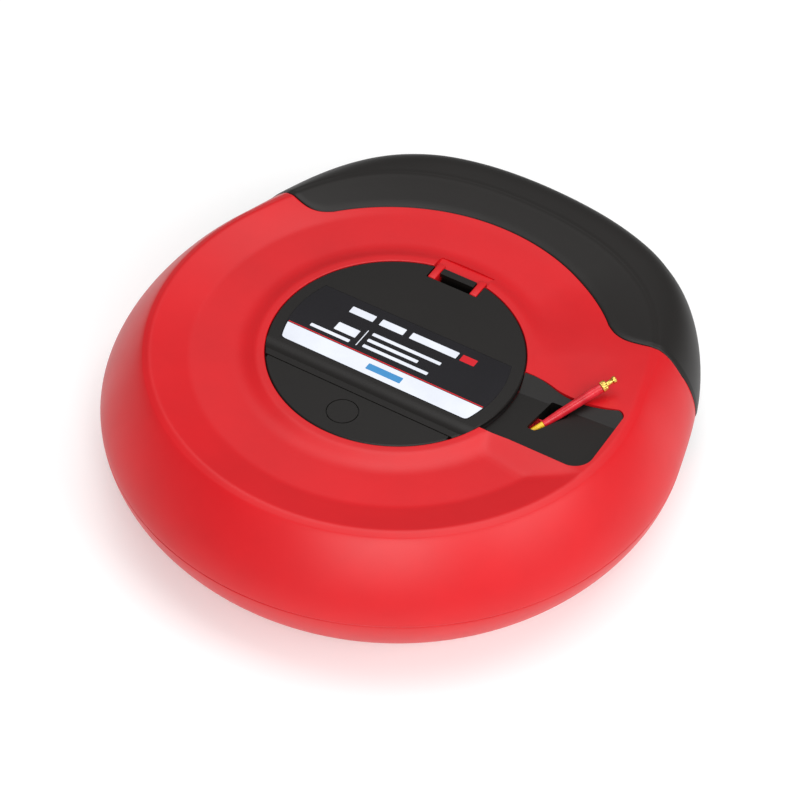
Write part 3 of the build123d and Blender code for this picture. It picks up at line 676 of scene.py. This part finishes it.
ends = [a for a in spread((26, 34, 0.1), (34, 46, 0.35))]
fine = spread((-38, 26, 0.5)) + ends + spread((46, 134, 1.0))
fine += [180 - a for a in ends[::-1]] + spread((154, 322, 1.0))
top = new_object("top_moulding", skin(top_column, fine, upper, "casing"), red, "casing")
base_angles = spread(
    (20, 30, 0.1), (30, 40, 0.5), (40, 140, 1.0), (140, 150, 0.5), (150, 160, 0.1), (160, 380, 1.0)
)
base = skin(bottom_column, base_angles, lower, "casing")
base = new_object("bottom_moulding", base, red, "casing")
grip_angles = spread((26, 34, 0.08), (34, 46, 0.3), (46, 134, 0.8), (134, 146, 0.3), (146, 154, 0.08))
grip_angles += [154.0]
grip = skin(top_column, grip_angles, upper_grip, "grip", 0.5)
grip = new_object("grip_top_moulding", grip, grip_black, "casing")
low_angles = spread((24, 34, 0.1), (34, 146, 1.0), (146, 156, 0.1)) + [156.0]
grip_low = skin(bottom_column, low_angles, lower_grip, "grip")
grip_low = new_object("grip_base_moulding", grip_low, grip_black, "casing")

boolean(grip, pocket_cutter())
liner = bmesh.new()
pocket_liner(liner)
liner = new_object("grip_pocket", liner, grip_black, "casing")
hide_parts("grip_upper")
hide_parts("grip_lower")

# Outlet recess, its seat, and the latch pocket in the top moulding
boolean(top, loose(prism(arm_outline(0.3), -4.8, 12, ARM), "cut_arm"))
seat = new_object("outlet_seat", prism(arm_outline(2.0), -6.8, -1.7, ARM), red, "casing")
boolean(seat, loose(prism(arm_outline(0.3), -4.8, 12, ARM), "cut_arm"))
boolean(seat, loose(prism(arm_outline(-3.0), -14, 0, ARM), "cut_arm"))


def cuboid(x, y, z, name="cuboid"):
    return prism([(x[0], y[0]), (x[1], y[0]), (x[1], y[1]), (x[0], y[1])], z[0], z[1], name=name)


boolean(top, loose(cuboid((-15, 15), (58, 69.5), (LID_Z - 2, 90)), "cut_latch"))
shade(top)
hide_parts("top_shell")
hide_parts("bottom_shell")

# ---------------------------------------------------------------- small mouldings and the rod's end


def lathe(points, segments=96, start=0.0, stop=360.0):
    """A turned solid from a closed loop of (radius, z) points."""
    bm = bmesh.new()
    whole = stop - start >= 360
    count = segments if whole else segments + 1
    rows = []
    for i in range(count):
        a = math.radians(start + (stop - start) * i / segments)
        row = [bm.verts.new((r * math.cos(a) * MM, r * math.sin(a) * MM, z * MM)) for r, z in points]
        rows.append(row + [row[0]])
    if whole:
        rows.append(rows[0])
    else:
        bm.faces.new(rows[0][:-1])
        bm.faces.new(rows[-1][:-1][::-1])
    grid(bm, rows)
    return bm


def bevelled(o, width, segments=3):
    """Rounds an object's sharp edges by width mm, in the mesh."""
    modifier = o.modifiers.new("round", "BEVEL")
    modifier.width = width * MM
    modifier.segments = segments
    modifier.limit_method = "ANGLE"
    modifier.angle_limit = math.radians(35)
    modifier.harden_normals = False
    depsgraph = bpy.context.evaluated_depsgraph_get()
    mesh = bpy.data.meshes.new_from_object(o.evaluated_get(depsgraph))
    o.modifiers.clear()
    o.data = mesh
    shade(o, 60)
    return o


ledge = lathe([(59.5, 64.6), (63.2, 64.6), (63.2, 67.0), (59.5, 67.0)], 160, 102, 438)
new_object("lid_ledge", ledge, red, "casing")
for side in (-1, 1):
    lug = cuboid(sorted((side * 9.75, side * 13.85)), (52.7, 64.0), (64.7, 71.95))
    bevelled(new_object(f"latch_lug_{'left' if side < 0 else 'right'}", lug, red, "casing"), 0.7)

LEAN, RISE = math.radians(32), math.radians(20)
ROD = Vector((math.sin(LEAN) * math.cos(RISE), math.cos(LEAN) * math.cos(RISE), math.sin(RISE)))
ROD_AT = Vector((78.4, -8.3, 66.4))


def along_rod(profile, segments=64, radius_factor=None, bore=0.0):
    """A turned piece on the rod's axis from (distance, radius) pairs, closed at both ends or bored."""
    side = Vector((-ROD.y, ROD.x, 0)).normalized()
    up = ROD.cross(side)
    bm = bmesh.new()

    def ring(distance, radius, factor=None):
        row = []
        for i in range(segments):
            a = 2 * math.pi * i / segments
            r = radius * (factor(distance, a) if factor else 1)
            out = side * math.cos(a) + up * math.sin(a)
            row.append(bm.verts.new((ROD_AT + ROD * distance + out * r) * MM))
        return row + [row[0]]

    rows = [ring(distance, radius, radius_factor) for distance, radius in profile]
    grid(bm, rows)
    if bore:
        inner = [ring(distance, bore) for distance in (profile[0][0], profile[-1][0])]
        grid(bm, inner)
        grid(bm, [rows[0], inner[0]])
        grid(bm, [rows[-1], inner[1]])
    else:
        bm.faces.new(rows[0][:-1][::-1])
        bm.faces.new(rows[-1][:-1])
    return bm


def sleeve_profile():
    out = [(7.4, 1.56), (7.5, 1.68), (7.8, 1.74)]
    for i in range(1, 40):
        t = i / 40
        d = 7.8 + 31.2 * t
        r = mix(1.74, 2.14, min(t / 0.29, 1)) if t < 0.29 else mix(2.14, 2.38, min((t - 0.29) / 0.6, 1))
        out.append((d, r - 0.012 - 0.012 * math.sin(d * 2.3) - 0.008 * math.sin(d * 5.1)))
    return out + [(39.1, 2.3), (39.4, 2.24)]


def knurl(distance, angle):
    return 1 - (0.045 if 39.9 < distance < 42.1 and math.cos(20 * angle) < 0 else 0.0)


sleeve = along_rod(sleeve_profile(), bore=1.5)
sleeve = new_object("shrink_sleeve", sleeve, sleeve_red, "rod_end")
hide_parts("rod_sleeve")
tip = [(39.4, 2.15), (39.5, 2.35), (39.85, 2.58), (39.95, 2.6), (42.05, 2.6), (42.15, 2.58)]
tip += [(42.45, 2.3), (42.6, 1.32), (42.8, 1.26)]
tip += [(45.4, 1.26), (45.55, 1.34), (45.75, 1.62), (46.0, 1.74), (47.1, 1.74), (47.4, 1.62), (47.6, 1.3)]
fitting = new_object("brass_end", along_rod(tip, 120, knurl), brass, "rod_end")
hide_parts("rod_end_fitting")

# ---------------------------------------------------------------- printed label

label_dark = Nodes("label_sheet", (16, 14, 18), 0.2, Coat_Weight=0.15, Coat_Roughness=0.08)
label_dark.bump(label_dark.noise(300.0, 3.0), 0.02, 0.0001)
label_dark.tint(label_dark.spread(label_dark.noise(40.0, 3.0), 0.3, 0.7), (14, 12, 17), (18, 16, 22))
print_white = Nodes("print_white", (226, 230, 240), 0.22, Coat_Weight=0.3)
print_white.tint(print_white.spread(print_white.noise(50.0, 3.0), 0.3, 0.7), (220, 224, 234), (232, 236, 244))
print_red = Nodes("print_red", (206, 28, 40), 0.22)
print_red.tint(print_red.spread(print_red.noise(60.0, 3.0), 0.3, 0.7), (200, 24, 36), (212, 34, 46))
print_blue = Nodes("print_blue", (64, 140, 196), 0.22)
print_blue.tint(print_blue.spread(print_blue.noise(60.0, 3.0), 0.3, 0.7), (58, 132, 190), (74, 148, 202))
nodes["lid_label"].data.materials.clear()
nodes["lid_label"].data.materials.append(label_dark.material)


def bar(x, y, radius=0.4):
    """A printed bar's outline, with rounded corners."""
    points = []
    radius = min(radius, (x[1] - x[0]) / 2, (y[1] - y[0]) / 2)
    left, right, near, far = x[0] + radius, x[1] - radius, y[0] + radius, y[1] - radius
    corners = ((right, far, 0), (left, far, 90), (left, near, 180), (right, near, 270))
    for cx, cy, turn in corners:
        for i in range(7):
            a = math.radians(turn + 15 * i)
            points.append((cx + radius * math.cos(a), cy + radius * math.sin(a)))
    return points


def stripe():
    """The white field along the label's lower edge."""
    out = []
    for side in (1, -1):
        high = math.degrees(math.asin(-11.3 / 55.4))
        low = math.degrees(math.asin(-20.6 / 55.4))
        arc = [mix(high, low, i / 10) for i in range(11)]
        points = [(side * 55.4 * math.cos(math.radians(a)), 55.4 * math.sin(math.radians(a))) for a in arc]
        points += [(side * 50.6, -21.3), (side * 49.4, -21.6)]
        out += points if side > 0 else points[::-1]
    return out


def printed(name, outlines, ink, low=71.952):
    bm = bmesh.new()
    for outline in outlines:
        piece = prism(outline, low, low + 0.013)
        mesh = bpy.data.meshes.new("scratch")
        piece.to_mesh(mesh)
        piece.free()
        bm.from_mesh(mesh)
        bpy.data.meshes.remove(mesh)
    return new_object(name, bm, ink.material, "lid", 30)


title = [bar((-33, -19.5), (10.2, 14.6)), bar((-16, -2.5), (10.2, 14.6)), bar((1, 27), (10.2, 14.6))]
small = [bar((-15, 23), (2.2, 4.2)), bar((-15, 13), (-2.4, -0.4)), bar((-15, 21), (-6.8, -4.8))]
length_block = [bar((-33, -21), (-3.6, 1.8)), bar((-44, -22), (-7.9, -5.9))]
printed("print_white_field", [stripe()], print_white)
printed("print_title", title, print_white)
printed("print_lines", small + length_block + [bar((-18.2, -17.7), (-7.5, 4.2), 0.1)], print_white)
printed("print_red_mark", [bar((29, 37), (10.2, 14.6))], print_red)
printed("print_red_line", [bar((-54.2, 54.2), (-10.9, -10.3), 0.1)], print_red)
printed("print_blue_mark", [bar((-6, 13), (-18.4, -14.4))], print_blue, 71.968)

# ---------------------------------------------------------------- studio


def pale(name, value):
    m = Nodes(name, (255, 255, 255), 0.9)
    m.shader.inputs["Base Color"].default_value = (value, value, value, 1)
    m.shader.inputs["Emission Color"].default_value = (1, 1, 1, 1)
    m.shader.inputs["Emission Strength"].default_value = 0.24
    return m.material


floor_mesh = bpy.data.meshes.new("floor")
floor_mesh.from_pydata([(-4, -4, 0), (4, -4, 0), (4, 4, 0), (-4, 4, 0)], [], [(0, 1, 2, 3)])
floor = bpy.data.objects.new("floor", floor_mesh)
bpy.context.scene.collection.objects.link(floor)
floor.data.materials.append(pale("floor_white", 0.8))

AZ, EL, ROLL = math.radians(30), math.radians(46.05), math.radians(1.75)
back = Vector((math.sin(AZ) * math.cos(EL), -math.cos(AZ) * math.cos(EL), math.sin(EL)))
right0 = Vector((math.cos(AZ), math.sin(AZ), 0))
up0 = back.cross(right0)
right = right0 * math.cos(ROLL) + up0 * math.sin(ROLL)
up = up0 * math.cos(ROLL) - right0 * math.sin(ROLL)
camera = bpy.data.objects.new("camera", bpy.data.cameras.new("camera"))
camera.data.lens = 108
camera.data.sensor_width = 36
camera.data.clip_end = 20
m = Matrix((right, up, back)).transposed().to_4x4()
m.translation = Vector((0.4092, -0.7034, 0.8817))
camera.matrix_world = m
bpy.context.scene.collection.objects.link(camera)
bpy.context.scene.camera = camera

world = bpy.data.worlds.new("world")
world.use_nodes = True
world.node_tree.nodes["Background"].inputs["Color"].default_value = (1, 1, 1, 1)
world.node_tree.nodes["Background"].inputs["Strength"].default_value = 0.28
bpy.context.scene.world = world
bpy.context.scene.view_settings.view_transform = "Standard"


def softbox(name, position, target, size, power):
    light = bpy.data.lights.new(name, "AREA")
    light.shape = "RECTANGLE"
    light.size, light.size_y = size
    light.energy = power
    o = bpy.data.objects.new(name, light)
    o.location = position
    o.rotation_euler = (Vector(position) - Vector(target)).to_track_quat("Z", "Y").to_euler()
    bpy.context.scene.collection.objects.link(o)


softbox("key", (0.7, -1.3, 1.2), (0, 0, 0.05), (1.2, 0.9), 18)
softbox("fill", (1.5, -0.1, 1.0), (0, 0, 0.05), (1.0, 0.8), 9)
softbox("top", (0.0, 0.3, 1.8), (0, 0, 0.05), (1.8, 1.4), 20)
